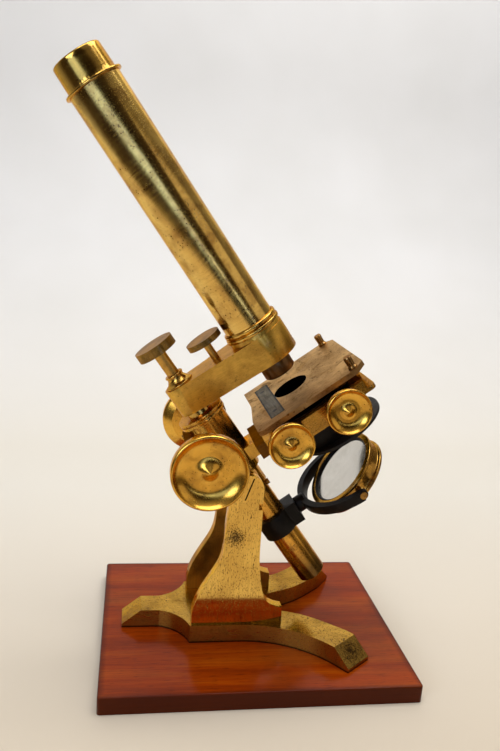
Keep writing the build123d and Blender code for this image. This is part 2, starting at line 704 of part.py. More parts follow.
def stage_x_slide():
    plate = block(XSLIDE_X0, XSLIDE_X1, APRON_Y + 0.4, BASE_HALF, XSLIDE_Z, XSLIDE_TOP)
    left = APRON_X0 - X_TRAVEL - 0.5
    plate -= block(left, XSLIDE_X1 + 1, APRON_Y - 9, APRON_Y + 0.4, XSLIDE_Z, XSLIDE_TOP)
    plate -= x_rails(SLIDE)
    plate += y_rail(RAIL_LEFT, 0.0) + y_rail(RAIL_RIGHT, 0.0)
    span = X_TRAVEL + 6
    room = X_LUG_Y + 3.4
    plate -= block(X_PINION_X - span, X_PINION_X + span, APRON_Y, room, XSLIDE_Z - 1, XSLIDE_Z + 4.8)
    plate -= stage_rack_box()
    half = APERTURE_R + 0.5
    window = SlotCenterToCenter(2 * X_TRAVEL, 2 * half)
    plate -= Pos(OPTIC_X, 0, XSLIDE_Z - 1) * extrude(window, PLATE_Z - XSLIDE_Z + 1)
    reach = NUT_HALF + Y_TRAVEL + 1
    plate -= block(Y_SCREW_X - 4.0, Y_SCREW_X + 4.0, -reach, reach, XSLIDE_Z - 1, XSLIDE_TOP + 1)
    return plate - rod_y(Y_SCREW_R + RUN, -BASE_HALF, 26, Y_SCREW_X, Y_SCREW_Z)


def stage_rack_box():
    span = X_TRAVEL + 5.5
    return block(X_PINION_X - span, X_PINION_X + span, X_RACK_Y0, X_RACK_Y1, XSLIDE_Z + 4.7, XSLIDE_Z + 5.8)


def stage_rack():
    span = X_TRAVEL + 5.5
    pitch_z = X_PINION_Z + X_MODULE * X_TEETH / 2
    back = XSLIDE_Z + 5.8 - pitch_z
    profile = rack_profile(X_MODULE, X_PINION_X - span, X_PINION_X + span, X_PINION_X, back)
    return prism_y([(along, pitch_z + depth) for along, depth in profile], X_RACK_Y0, X_RACK_Y1)


def x_pinion():
    front = -STAGE_KNOB_Y + KNOB_DEPTH * STAGE_KNOB_R
    middle = (X_RACK_Y0 + X_RACK_Y1) / 2
    wheel = Pos(0, middle, 0) * Rot(0, -90, 0) * gear(X_MODULE, X_TEETH, X_RACK_Y1 - X_RACK_Y0 - 1)
    return Pos(X_PINION_X, 0, X_PINION_Z) * (wheel + rod_y(X_SHAFT_R, front, X_LUG_Y + 2.6))


def stage_knob(x, z, shaft_r, hub):
    return Pos(x, -STAGE_KNOB_Y, z) * Rot(90, 0, 0) * dish_knob(STAGE_KNOB_R, shaft_r, hub)


def y_screw():
    front = -STAGE_KNOB_Y + KNOB_DEPTH * STAGE_KNOB_R
    return rod_y(Y_SCREW_R, front, 25, Y_SCREW_X, Y_SCREW_Z)


def stage_top_plate():
    h = PLATE_HALF
    corners = [
        (PLATE_X0, h), (PLATE_X1 - 8, h), (PLATE_X1, h - 8), (PLATE_X1, -h + 8), (PLATE_X1 - 8, -h),
        (PLATE_X0 - 1, -h), (PLATE_X0 - 4.4, -h + 3), (PLATE_X0 - 4.4, -0.45 * h), (PLATE_X0, 0.2 * h),
    ]
    plate = Pos(0, 0, PLATE_Z) * extrude(Polygon(*corners, align=None), PLATE_T, dir=(0, 0, 1))
    plate -= rod(APERTURE_R, PLATE_Z - 1, STAGE_TOP + 1, OPTIC_X)
    plate -= stage_inset_blank()
    return plate - inset_screws() - stage_pins()


def stage_inset_blank():
    right = OPTIC_X - APERTURE_R - 0.1
    return block(PLATE_X0 + INSET_EDGE, right, -INSET_HALF, INSET_HALF, STAGE_TOP - 1.5, STAGE_TOP)


def stage_inset():
    return stage_inset_blank() - inset_screws()


def inset_screws():
    x = (PLATE_X0 + INSET_EDGE + OPTIC_X - APERTURE_R) / 2 - 0.5
    screw = rod(1.9, STAGE_TOP - 1.0, STAGE_TOP) + rod(1.1, STAGE_TOP - 3.3, STAGE_TOP - 1.0)
    return [Pos(x, y, 0) * screw for y in (-0.7 * INSET_HALF, 0.7 * INSET_HALF)]


def stage_pins():
    z = STAGE_TOP
    r = PIN_R
    profile = [
        (0, z - 2.5), (1.8, z - 2.5), (1.8, z), (r + 0.4, z), (r + 0.4, z + 1.2), (r - 0.3, z + 2.2),
        (r, z + 0.9 * PIN_H), (r - 0.5, z + PIN_H), (0, z + PIN_H),
    ]
    pin = turned(profile)
    return [Pos(PLATE_X1 - 8.5, y, 0) * pin for y in (-PLATE_HALF + 5, PLATE_HALF - 5)]


def guide_bar(x, sign):
    near, far = sign * 1.5, sign * 2.3
    gap = sign * SLIDE * 1.4
    base, top = XSLIDE_TOP, PLATE_Z - 0.4
    out = x + sign * 9.0
    profile = [
        (x + near + gap, base + 0.3), (x + far + gap, top), (x + far + gap, PLATE_Z),
        (out, PLATE_Z), (out, base + 0.3),
    ]
    return prism_y(profile, -36, BASE_HALF)


def guide_bar_left():
    bar = guide_bar(RAIL_LEFT, -1)
    bar += block(Y_SCREW_X - 3.4, Y_SCREW_X + 3.4, -NUT_HALF, NUT_HALF, XSLIDE_Z + 0.2, PLATE_Z - 3)
    return bar - rod_y(Y_SCREW_R + RUN, -NUT_HALF - 1, NUT_HALF + 1, Y_SCREW_X, Y_SCREW_Z)


def guide_bar_right():
    return guide_bar(RAIL_RIGHT, 1)


# Diaphragm wheel under the stage

def diaphragm_carrier():
    floor = WHEEL_TOP + 0.3
    middle = OPTIC_X + CARRIER_OFFSET
    shell = rod(CARRIER_R, floor, BASE_Z, middle)
    shell -= rod(CARRIER_R - CARRIER_WALL, floor + 3.5, BASE_Z + 1, middle)
    shell -= rod(9, floor - 1, floor + 5, OPTIC_X)
    return shell - diaphragm_pivot()


def diaphragm_wheel():
    disc = rod(WHEEL_R, WHEEL_TOP - WHEEL_T, WHEEL_TOP)
    disc -= rod(2.2 + RUN, WHEEL_TOP - WHEEL_T - 1, WHEEL_TOP + 1)
    for i, radius in enumerate((7.5, 5.5, 4.0, 2.8, 1.8)):
        disc -= Rot(0, 0, 180 + 72 * i) * rod(radius, WHEEL_TOP - WHEEL_T - 1, WHEEL_TOP + 1, WHEEL_OFFSET)
    return Pos(OPTIC_X + WHEEL_OFFSET, 0, 0) * disc


def diaphragm_pivot():
    low = WHEEL_TOP - WHEEL_T - 0.3
    screw = rod(4.0, low - 1.8, low) + rod(2.2, low, WHEEL_TOP + 3.0)
    return Pos(OPTIC_X + WHEEL_OFFSET, 0, 0) * screw


# Mirror: sliding collar, crescent gimbal and double-sided cell

def mirror_collar():
    z0, z1 = MIRROR_Z - COLLAR_H / 2 - 1, MIRROR_Z + COLLAR_H / 2 - 1
    body = rod(COLLAR_R, z0, z1) + block(0, COLLAR_BOSS_X, -9, 9, z0, z1)
    body -= rod(TAIL_R + RUN, z0 - 1, z1 + 1)
    return body - rod_x(GIMBAL_STEM_R + RUN, TAIL_R + 1.5, COLLAR_BOSS_X + 1, 0, MIRROR_Z)


def gimbal_stem():
    return rod_x(GIMBAL_STEM_R, TAIL_R + 2, MIRROR_X - GIMBAL_IN - 1.5, 0, MIRROR_Z)


def mirror_gimbal():
    z0, z1 = MIRROR_Z - GIMBAL_H / 2, MIRROR_Z + GIMBAL_H / 2
    ring = rod(GIMBAL_OUT, z0, z1) - rod(GIMBAL_IN, z0 - 1, z1 + 1)
    ring -= block(0, 60, -60, 60, z0 - 1, z1 + 1)
    lug_y = (GIMBAL_IN + 0.1, GIMBAL_OUT - 1.5)
    for sign in (-1, 1):
        ends = sorted((sign * lug_y[0], sign * lug_y[1]))
        ring += rod_y(GIMBAL_H / 2, *ends, z=MIRROR_Z)
    ring = Pos(MIRROR_X, 0, 0) * ring
    ring += rod_x(GIMBAL_HUB_R, COLLAR_BOSS_X + 0.3, MIRROR_X - GIMBAL_IN - 1.5, 0, MIRROR_Z)
    return ring - gimbal_stem() - pivot_screws()


def pivot_screws():
    out = GIMBAL_OUT - 1.5
    screws = []
    for sign in (-1, 1):
        head = sorted((sign * out, sign * (out + 1.5)))
        shank = sorted((sign * out, sign * (CELL_R - 2.0)))
        at = {"x": MIRROR_X, "z": MIRROR_Z}
        screws.append(rod_y(2.8, *head, **at) + rod_y(1.6, *shank, **at))
    return screws


def swung(shape):
    # Turned with the gimbal about its stem.
    return Pos(0, 0, MIRROR_Z) * Rot(GIMBAL_TURN, 0, 0) * Pos(0, 0, -MIRROR_Z) * shape


def tilted(shape):
    return swung(Pos(MIRROR_X, 0, MIRROR_Z) * Rot(0, -MIRROR_TILT, 0) * shape)


def mirror_cell():
    # Spool-shaped ring: a rim at each end, a waist between, an inner shoulder between the two glasses.
    t, seat = CELL_HALF_T, GLASS_SEAT
    bore = GLASS_R + 2.2
    half = [
        (GLASS_R, seat), (bore, seat), (bore, t), (CELL_R - 0.5, t), (CELL_R, t - 0.5),
        (CELL_R, t - 2.4), (CELL_R - 2.0, t - 3.1),
    ]
    profile = [(r, -z) for r, z in half] + half[::-1]
    return turned(profile) - rod_y(1.6 + RUN, -CELL_R - 1, CELL_R + 1)


def mirror_bezels():
    low = GLASS_SEAT + GLASS_T
    top = CELL_HALF_T - 0.4
    profile = [(GLASS_R, low), (GLASS_R + 2.2, low), (GLASS_R + 2.2, top), (GLASS_R + 1.4, top)]
    up = turned(profile)
    return [up, mirror(up, Plane.XY)]


def mirror_flat():
    return rod(GLASS_R + 2.2, GLASS_SEAT, GLASS_SEAT + GLASS_T)


def mirror_concave():
    low = -GLASS_SEAT - GLASS_T
    bowl = 1.2
    radius = (GLASS_R ** 2 + bowl ** 2) / (2 * bowl)
    disc = rod(GLASS_R + 2.2, low, -GLASS_SEAT)
    return disc - Pos(0, 0, low + bowl - radius) * Sphere(radius)


STAND = {
    "base_board": base_board(),
    "foot": foot(),
    "upright_near": upright(-1),
    "upright_far": upright(1),
    "stand_screws": stand_screws(),
    "trunnion_screws": [trunnion_screw(-1, True), trunnion_screw(1, True)],
}
ON_LIMB = {
    "limb": limb(),
    "pinion_cap": pinion_cap(),
    "pinion_cap_screws": pinion_cap_screws(),
    "tail_tube": tail_tube(),
    "tail_plug": tail_plug(),
    "collar_stop_screw": collar_stop_screw(),
    "stem": stem(),
    "rack": rack(),
    "coarse_pinion": coarse_pinion(),
    "coarse_knob_near": coarse_knob(-1),
    "coarse_knob_far": coarse_knob(1),
    "arm": arm(),
    "lever_cover": lever_cover(),
    "lever_pin": lever_pin(),
    "clamp_collar": clamp_collar(),
    "arm_clamp_screw": arm_clamp_screw(),
    "body_tube": body_tube(),
    "tube_collar": tube_collar(),
    "fine_screw": fine_screw(),
    "fine_lever": fine_lever(),
    "nose_tube": nose_tube(),
    "nose_spring": nose_spring(),
    "objective": objective(),
    "objective_lens": objective_lens(),
    "eyepiece_cap": eyepiece_cap(),
    "eyepiece_tube": eyepiece_tube(),
    "eye_lens": eye_lens(),
    "field_lens": field_lens(),
    "stage_bracket": stage_bracket(),
    "stage_screws": stage_screws(),
    "stage_base": stage_base(),
    "stage_x_slide": stage_x_slide(),
    "stage_rack": stage_rack(),
    "x_pinion": x_pinion(),
    "x_knob": stage_knob(X_PINION_X, X_PINION_Z, X_SHAFT_R, 4.0),
    "y_screw": y_screw(),
    "y_knob": stage_knob(Y_SCREW_X, Y_SCREW_Z, Y_SCREW_R, 4.0),
    "stage_top_plate": stage_top_plate(),
    "stage_inset": stage_inset(),
    "inset_screws": inset_screws(),
    "stage_pins": stage_pins(),
    "guide_bar_left": guide_bar_left(),
    "guide_bar_right": guide_bar_right(),
    "diaphragm_carrier": diaphragm_carrier(),
    "diaphragm_wheel": diaphragm_wheel(),
    "diaphragm_pivot": diaphragm_pivot(),
    "mirror_collar": mirror_collar(),
    "gimbal_stem": gimbal_stem(),
    "mirror_gimbal": swung(mirror_gimbal()),
    "mirror_pivot_screws": [swung(screw) for screw in pivot_screws()],
    "mirror_cell": tilted(mirror_cell()),
    "mirror_bezels": [tilted(b) for b in mirror_bezels()],
    "mirror_flat": tilted(mirror_flat()),
    "mirror_concave": tilted(mirror_concave()),
}


def write(name, shape, place):
    solids = []
    for piece in shape if isinstance(shape, list) else [shape]:
        solids += [place * solid for solid in piece.solids()]
    whole = solids[0] if len(solids) == 1 else Compound(children=solids)
    whole.label = name
    export_step(whole, f"parts/{name}.step")


for name, shape in STAND.items():
    write(name, shape, Location())
for name, shape in ON_LIMB.items():
    write(name, shape, LIMB)
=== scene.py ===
import math

import bpy
from mathutils import Matrix, Vector


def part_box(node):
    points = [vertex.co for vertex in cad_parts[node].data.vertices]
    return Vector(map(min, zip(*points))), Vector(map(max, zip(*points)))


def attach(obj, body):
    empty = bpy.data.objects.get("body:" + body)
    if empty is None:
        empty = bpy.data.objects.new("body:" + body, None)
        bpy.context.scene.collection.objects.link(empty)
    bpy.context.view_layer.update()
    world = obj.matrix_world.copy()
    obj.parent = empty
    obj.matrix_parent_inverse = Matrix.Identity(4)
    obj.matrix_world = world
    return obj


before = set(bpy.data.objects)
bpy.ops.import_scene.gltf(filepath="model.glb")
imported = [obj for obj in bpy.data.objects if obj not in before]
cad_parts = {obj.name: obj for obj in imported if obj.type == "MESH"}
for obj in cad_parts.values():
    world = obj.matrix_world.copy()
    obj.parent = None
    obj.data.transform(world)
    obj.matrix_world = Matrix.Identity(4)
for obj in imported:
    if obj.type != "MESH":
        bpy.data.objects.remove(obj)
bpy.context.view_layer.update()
scene = bpy.context.scene


# Camera
# It stands left of the board's middle, above the stage, and looks a little down.
# It is rolled a few degrees, as the photograph was taken.
EYE = (-0.0995, -0.5117, 0.3277)
PITCH = math.radians(12.70)
YAW = math.radians(-9.74)
ROLL = math.radians(4.26)
SENSOR_WIDTH = 36.0
FOCAL_LENGTH = 34.725
turn = Matrix.Rotation(YAW, 4, "Z") @ Matrix.Rotation(math.pi / 2 - PITCH, 4, "X")
turn = turn @ Matrix.Rotation(ROLL, 4, "Z")
lens = bpy.data.cameras.new("camera")
lens.sensor_width = SENSOR_WIDTH
lens.lens = FOCAL_LENGTH
lens.clip_start = 0.01
lens.dof.use_dof = False
camera = bpy.data.objects.new("camera", lens)
camera.matrix_world = Matrix.Translation(EYE) @ turn
scene.collection.objects.link(camera)
scene.camera = camera
scene.view_settings.view_transform = "Standard"


# Cloth and light
# A plain pale cotton cloth lies under the board and curves up behind it.
# Daylight falls from above and from a cool window at the front left; the room ahead is dark.
MM = 0.001


def rgb(hex_code):
    """An sRGB hex colour as the linear colour that shaders take."""
    parts = [int(hex_code[i:i + 2], 16) / 255.0 for i in (1, 3, 5)]
    linear = [c / 12.92 if c <= 0.04045 else ((c + 0.055) / 1.055) ** 2.4 for c in parts]
    return (*linear, 1.0)


def feed(node, inputs):
    """Sets a node's inputs, by name or number, each to a value or from a link."""
    for key, value in inputs.items():
        if isinstance(value, bpy.types.NodeSocket):
            node.id_data.links.new(value, node.inputs[key])
        else:
            node.inputs[key].default_value = value


def add(tree, kind, *inputs, give=None, **named):
    """Adds a node and gives its first output, or the one that is named.

    Its live inputs come in order, or by their capital names; small names are settings.
    """
    made = tree.nodes.new("ShaderNode" + kind)
    for key in [key for key in named if key.islower()]:
        setattr(made, key, named.pop(key))
    live = [k for k, socket in enumerate(made.inputs) if socket.enabled]
    feed(made, {**dict(zip(live, inputs)), **named})
    return made.outputs[give] if give else next(socket for socket in made.outputs if socket.enabled)


def lay(tree, under, over, pattern, start, end, least=0.0, most=1.0):
    """Lays a colour over another, from least to most as a pattern goes from start to end."""
    share = add(tree, "MapRange", pattern, start, end, least, most)
    return add(tree, "Mix", share, under, rgb(over), data_type="RGBA")


def surface(name):
    """A new material with its tree and its shader."""
    made = bpy.data.materials.new(name)
    made.use_nodes = True
    return made, made.node_tree, made.node_tree.nodes["Principled BSDF"]


def build_mesh(name, points, faces):
    """A smooth mesh object from points and faces."""
    mesh = bpy.data.meshes.new(name)
    mesh.from_pydata(points, [], faces)
    mesh.shade_smooth()
    made = bpy.data.objects.new(name, mesh)
    scene.collection.objects.link(made)
    return made


CLOTH_FRONT = -0.95
CLOTH_BACK = 1.1
CLOTH_BEND = 0.6
CLOTH_HEIGHT = 2.2
CLOTH_HALF = 0.62
CLOTH_SPLAY = 0.45
BEND_STEPS = 24
profile = [(CLOTH_FRONT, 0.0), (CLOTH_BACK - CLOTH_BEND, 0.0)]
for k in range(1, BEND_STEPS + 1):
    angle = math.pi / 2 * k / BEND_STEPS
    across = CLOTH_BACK - CLOTH_BEND + CLOTH_BEND * math.sin(angle)
    profile.append((across, CLOTH_BEND - CLOTH_BEND * math.cos(angle)))
profile.append((CLOTH_BACK, CLOTH_HEIGHT))
points = [(side * (CLOTH_HALF + CLOTH_SPLAY * y), y, z) for y, z in profile for side in (-1, 1)]
faces = [(k, k + 1, k + 3, k + 2) for k in range(0, 2 * len(profile) - 2, 2)]
cloth = build_mesh("cloth", points, faces)

# Washed cotton: matt, nearly white, with soft folds, warmer near the front.
# Its threads are too fine to show, so the weave is drawn about a millimetre wide.
FOLD = 200.0 * MM
THREAD = 1.11 * MM
WEAVE_DEPTH = 0.4 * MM
cotton, tree, shader = surface("cotton")
place = add(tree, "TexCoord", give="Object")
ahead = add(tree, "SeparateXYZ", place, give="Y")
folds = add(tree, "TexNoise", place, Scale=1.0 / FOLD)
weave = add(tree, "TexNoise", place, Scale=1.0 / THREAD)
tone = lay(tree, rgb("#eeedea"), "#f4f3f1", folds, 0.3, 0.7)
tone = lay(tree, tone, "#e2dccf", ahead, 0.45, 1.0, 0.9, 0.0)
tone = lay(tree, tone, "#d2bc9b", ahead, -0.40, 0.30, 0.9, 0.0)
woven = add(tree, "Bump", Height=weave, Strength=0.15, Distance=WEAVE_DEPTH)
feed(shader, {"Base Color": tone, "Normal": woven, "Roughness": 0.9})
cloth.data.materials.append(cotton)


def soft_light(name, colour, centre, target, width, height, power):
    """A soft rectangular light aimed at a point."""
    data = bpy.data.lights.new(name, "AREA")
    data.shape = "RECTANGLE"
    data.size = width
    data.size_y = height
    data.energy = power
    data.color = rgb(colour)[:3]
    made = bpy.data.objects.new(name, data)
    aim = (Vector(target) - Vector(centre)).to_track_quat("-Z", "Y")
    made.matrix_world = Matrix.Translation(centre) @ aim.to_matrix().to_4x4()
    scene.collection.objects.link(made)


# White light from above, over the object and over the cloth behind it.
soft_light(
    "sky", "#fdfdff", centre=(0.1, 0.0, 2.0), target=(0.0, 0.55, 0.3),
    width=1.8, height=1.2, power=22.0,
)
soft_light(
    "back_sky", "#fdfdff", centre=(0.5, 0.35, 1.9), target=(0.4, 1.1, 1.05),
    width=1.2, height=0.8, power=11.0,
)

# A cool window at the front left, with two low pale curtains that the polished brass mirrors.
soft_light(
    "window", "#e8f1ff", centre=(-1.10, -1.08, 0.70), target=(0.0, -0.06, 0.18),
    width=0.9, height=0.55, power=6.2,
)
soft_light(
    "curtain", "#b8d2ff", centre=(-0.257, -0.90, 0.34), target=(0.438, -0.181, 0.34),
    width=1.01, height=0.28, power=1.4,
)
soft_light(
    "far_curtain", "#d4e3ff", centre=(0.80, -1.925, 0.36), target=(1.495, -1.206, 0.36),
    width=1.94, height=0.09, power=1.6,
)

# A warm wall on the right throws a little light back.
soft_light(
    "wall_right", "#fff1da", centre=(1.4, -0.8, 0.8), target=(0.0, 0.0, 0.25),
    width=1.2, height=1.2, power=2.4,
)

# The room: dark brown ahead of the object, pale behind and above it, tan on the right.
world = bpy.data.worlds.new("room")
world.use_nodes = True
scene.world = world
tree = world.node_tree
right, back, up = add(tree, "SeparateXYZ", add(tree, "TexCoord", give="Generated")).node.outputs
room = lay(tree, rgb("#2c2219"), "#54473a", back, -1.0, -0.2)
room = lay(tree, room, "#f2eee6", back, -0.2, 0.6)
room = lay(tree, room, "#75603f", right, 0.3, 0.9, 0.0, 0.6)
room = lay(tree, room, "#f4ecdd", up, 0.55, 0.95, 0.0, 0.75)
feed(tree.nodes["Background"], {"Color": room, "Strength": 0.6})


# Mahogany board
# A planed hardwood slab with eased edges, its grain running left to right.
# It is stained red and wax-polished, and the worn edges and end grain have gone dark; its sides also carry
# painted shade, darker than the top.
def dress(material, *names):
    """Gives nodes their material."""
    for name in names:
        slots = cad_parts[name].data.materials
        slots.clear()
        slots.append(material)


SHARP = math.radians(38.0)


def ease(width, *names):
    """Breaks the sharp edges of nodes by a small bevel, its width in mm."""
    for name in names:
        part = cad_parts[name]
        weld = part.modifiers.new("weld", "WELD")
        weld.merge_threshold = 1e-6
        bevel = part.modifiers.new("ease", "BEVEL")
        bevel.width = width * MM
        bevel.segments = 2
        bevel.limit_method = "ANGLE"
        bevel.angle_limit = SHARP
        bevel.harden_normals = True


def stretched(tree, sizes, turn=(0.0, 0.0, 0.0)):
    """Object coordinates turned by angles, then counted in a pattern's sizes in mm."""
    turned = add(tree, "Mapping", add(tree, "TexCoord", give="Object"), Rotation=turn)
    scale = tuple(1.0 / (size * MM) for size in sizes)
    return add(tree, "VectorMath", turned, scale, operation="MULTIPLY")


def mottle(tree, sizes, turn=(0.0, 0.0, 0.0), detail=3.0, rough=0.55, warp=0.0):
    """A cloudy pattern with patches of these sizes in mm."""
    place = stretched(tree, sizes, turn)
    return add(tree, "TexNoise", place, Scale=1.0, Detail=detail, Roughness=rough, Distortion=warp)


def facing_up(tree):
    """How far a face looks up: 1 on top, 0 on a side."""
    return add(tree, "SeparateXYZ", add(tree, "NewGeometry", give="Normal"), give="Z")


def from_middle(tree, place, axis, centre, half):
    """How near a place is to a strip's edges along an axis, 1 at the edge."""
    out = add(tree, "SeparateXYZ", place, give=axis)
    away = add(tree, "Math", add(tree, "Math", out, centre, operation="SUBTRACT"), operation="ABSOLUTE")
    return add(tree, "Math", away, half, operation="DIVIDE")


# Mahogany: red-brown figure, fine dark pores along the grain, a thin wax gloss over the top.
FIGURE = (200, 16, 16)
FIBRE = (50, 1.1, 1.1)
PORE = (10, 0.5, 0.5)
PATCH = (70, 45, 45)
GRAIN_DEPTH = 0.1 * MM
wood, tree, shader = surface("mahogany")
half_length, half_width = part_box("base_board")[1][:2]
figure = mottle(tree, FIGURE, detail=4.0, warp=0.5)
fibre = mottle(tree, FIBRE, rough=0.6)
pores = mottle(tree, PORE, detail=1.0, rough=0.5)
patch = mottle(tree, PATCH)
tone = lay(tree, rgb("#7e2a03"), "#983803", figure, 0.30, 0.5)
tone = lay(tree, tone, "#a84a08", figure, 0.5, 0.68)
tone = lay(tree, tone, "#541b07", fibre, 0.40, 0.75, 0.0, 0.5)
tone = lay(tree, tone, "#5c2c16", patch, 0.48, 0.72, 0.0, 0.45)
pore = add(tree, "MapRange", pores, 0.62, 0.72, 0.0, 0.65)
tone = add(tree, "Mix", pore, tone, rgb("#2e1005"), data_type="RGBA")
place = add(tree, "TexCoord", give="Object")
ends = from_middle(tree, place, "X", 0.0, half_length)
sides = from_middle(tree, place, "Y", 0.0, half_width)
edge = add(tree, "Math", ends, sides, operation="MAXIMUM")
rubbed = add(tree, "MapRange", patch, 0.0, 1.0, -0.015, 0.015)
edge = add(tree, "Math", edge, rubbed, operation="ADD")
tone = lay(tree, tone, "#32120a", edge, 0.955, 1.0, 0.0, 0.75)
# Painted shade: faces that turn away from the top are darkened, as if less light reaches them.
tone = lay(tree, tone, "#481904", facing_up(tree), 0.2, 0.8, 0.7, 0.0)
open_grain = add(tree, "Math", fibre, pore, operation="SUBTRACT")
feed(shader, {
    "Base Color": tone,
    "Roughness": add(tree, "MapRange", fibre, 0.3, 0.8, 0.13, 0.24),
    "Normal": add(tree, "Bump", Height=open_grain, Strength=0.12, Distance=GRAIN_DEPTH),
    "Specular IOR Level": 0.10,
})
dress(wood, "base_board")
ease(1.2, "base_board")


# Foot and uprights
# The forked foot is one heavy brass casting with bevelled toes, its sides filed lengthwise.
# The two plates are brushed upright and screwed on; old lacquer has gone in specks and stains.
def specks(tree, cell, share, size):
    """Ragged dark specks, one to a cell of these sizes in mm, kept in a share of the cells."""
    place = stretched(tree, cell)
    ragged = add(tree, "TexNoise", place, Scale=3.0, Detail=1.0, give="Color")
    place = add(tree, "VectorMath", place, ragged, operation="ADD")
    away = add(tree, "TexVoronoi", place, Scale=1.0, give="Distance")
    draw = add(tree, "SeparateColor", away.node.outputs["Color"], give="Red")
    reach = add(tree, "MapRange", draw.node.outputs["Green"], 0.0, 1.0, 0.4 * size, size)
    rim = add(tree, "Math", reach, 0.14, operation="ADD")
    near = add(tree, "MapRange", away, reach, rim, 1.0, 0.0)
    chosen = add(tree, "MapRange", draw, 1.0 - share, 1.02 - share)
    return add(tree, "Math", near, chosen, operation="MULTIPLY")


def from_line(tree, point, axis):
    """Distance from a line, in metres."""
    out = add(tree, "VectorMath", add(tree, "TexCoord", give="Object"), point, operation="SUBTRACT")
    across = add(tree, "VectorMath", out, axis, operation="CROSS_PRODUCT")
    return add(tree, "VectorMath", across, operation="LENGTH")


def cover(made, share, colour):
    """Lays a colour over a material's own, by a patterned share."""
    tree = made.node_tree
    shader = tree.nodes["Principled BSDF"]
    own = shader.inputs["Base Color"].links[0].from_socket
    feed(shader, {"Base Color": add(tree, "Mix", share, own, rgb(colour), data_type="RGBA")})


TARNISH = (24, 24, 24)
BLOTCH = (10, 10, 10)
GRIT = (1.2, 1.2, 1.2)
LARGE_SPECK = 3.3
FINISH_DEPTH = 0.1 * MM
LINING_EDGE = 0.3 * MM
EDGE_GOLD = "#e6b863"


def brass(
    name, light, dark, rough, grain, turn=(0.0, 0.0, 0.0), *,
    clouds=None, fine=1.1, tall=1.0, crowd=0.08, pits=0.5, stain=0.5, dull=0.3, relief=0.2,
    lacquer=0.3, edge=EDGE_GOLD, top_specks_shaded_sides=False, marks=(), bore=None,
):
    """Aged brass: brushed grain, brown tarnish clouds, dark specks and local stains.

    Specks are fine mm wide and tall times as long, and pits is how dark they are.
    Marks are single stains, each a centre and a radius; bore is the line and radius of a black lining.
    The top-only switch keeps the specks on top faces, makes the sides rougher and paints them a darker brown
    as shade.
    """
    made, tree, shader = surface(name)
    cloud = mottle(tree, TARNISH, detail=4.0, warp=0.3)
    brush = mottle(tree, grain, turn, rough=0.6)
    metal = lay(tree, rgb(clouds or dark), light, cloud, 0.32, 0.58)
    metal = lay(tree, metal, dark, brush, 0.40, 0.75, 0.0, 0.45)
    small = specks(tree, (fine, fine, fine * tall), share=0.55, size=0.36)
    wide = LARGE_SPECK * fine
    large = specks(tree, (wide, wide, wide * tall), share=0.3, size=0.17)
    thick = add(tree, "MapRange", cloud, 0.36, 0.58, 1.0, crowd)
    worn = add(tree, "Math", small, thick, operation="MULTIPLY")
    worn = add(tree, "Math", worn, large, operation="MAXIMUM")
    worn = add(tree, "Math", worn, pits, operation="MULTIPLY")
    polish = add(tree, "MapRange", brush, 0.3, 0.75, rough - 0.04, rough + 0.06)
    if top_specks_shaded_sides:
        above = add(tree, "MapRange", facing_up(tree), 0.3, 0.75, 0.2, 1.0)
        worn = add(tree, "Math", worn, above, operation="MULTIPLY")
        # Painted shade: the sides get a darker brown than the top.
        metal = lay(tree, metal, "#a6782a", above, 0.2, 1.0, 0.75, 0.0)
        filed = add(tree, "MapRange", above, 0.2, 1.0, 0.12, 0.0)
        polish = add(tree, "Math", polish, filed, operation="ADD")
    blotch = mottle(tree, BLOTCH, detail=5.0, rough=0.65, warp=0.8)
    brown = add(tree, "MapRange", blotch, 0.56, 0.72, 0.0, stain)
    metal = add(tree, "Mix", brown, metal, rgb("#5f3d17"), data_type="RGBA")
    metal = add(tree, "Mix", worn, metal, rgb("#2b1a0a"), data_type="RGBA")
    worn = add(tree, "Math", worn, brown, operation="ADD")
    for centre, radius in marks:
        away = add(tree, "VectorMath", add(tree, "TexCoord", give="Object"), centre, operation="DISTANCE")
        grit = mottle(tree, GRIT, rough=0.7)
        ragged = add(tree, "MapRange", grit, 0.3, 0.7, -0.9 * radius, 0.9 * radius)
        away = add(tree, "Math", away, ragged, operation="ADD")
        spot = add(tree, "MapRange", away, 0.25 * radius, 0.8 * radius, 0.9, 0.0)
        metal = add(tree, "Mix", spot, metal, rgb("#2a190a"), data_type="RGBA")
        worn = add(tree, "Math", worn, spot, operation="ADD")
    pitted = add(tree, "Math", worn, 1.5, operation="MULTIPLY")
    height = add(tree, "Math", brush, pitted, operation="SUBTRACT")
    dulled = add(tree, "Math", worn, dull, operation="MULTIPLY")
    feed(shader, {
        "Base Color": metal,
        "Roughness": add(tree, "Math", polish, dulled, operation="ADD"),
        "Normal": add(tree, "Bump", Height=height, Strength=relief, Distance=FINISH_DEPTH),
        "Metallic": 1.0,
        "Specular Tint": rgb(edge),
        "Coat Weight": lacquer,
        "Coat Roughness": 0.12,
    })
    if bore:
        point, axis, radius = bore
        bare = add(tree, "MapRange", from_line(tree, point, axis), radius, radius + LINING_EDGE)
        feed(shader, {
            "Base Color": add(tree, "Mix", bare, rgb("#030303"), metal, data_type="RGBA"),
            "Metallic": bare,
            "Specular IOR Level": add(tree, "Math", bare, 0.5, operation="MULTIPLY"),
        })
        if lacquer:
            feed(shader, {"Coat Weight": add(tree, "Math", bare, lacquer, operation="MULTIPLY")})
    return made
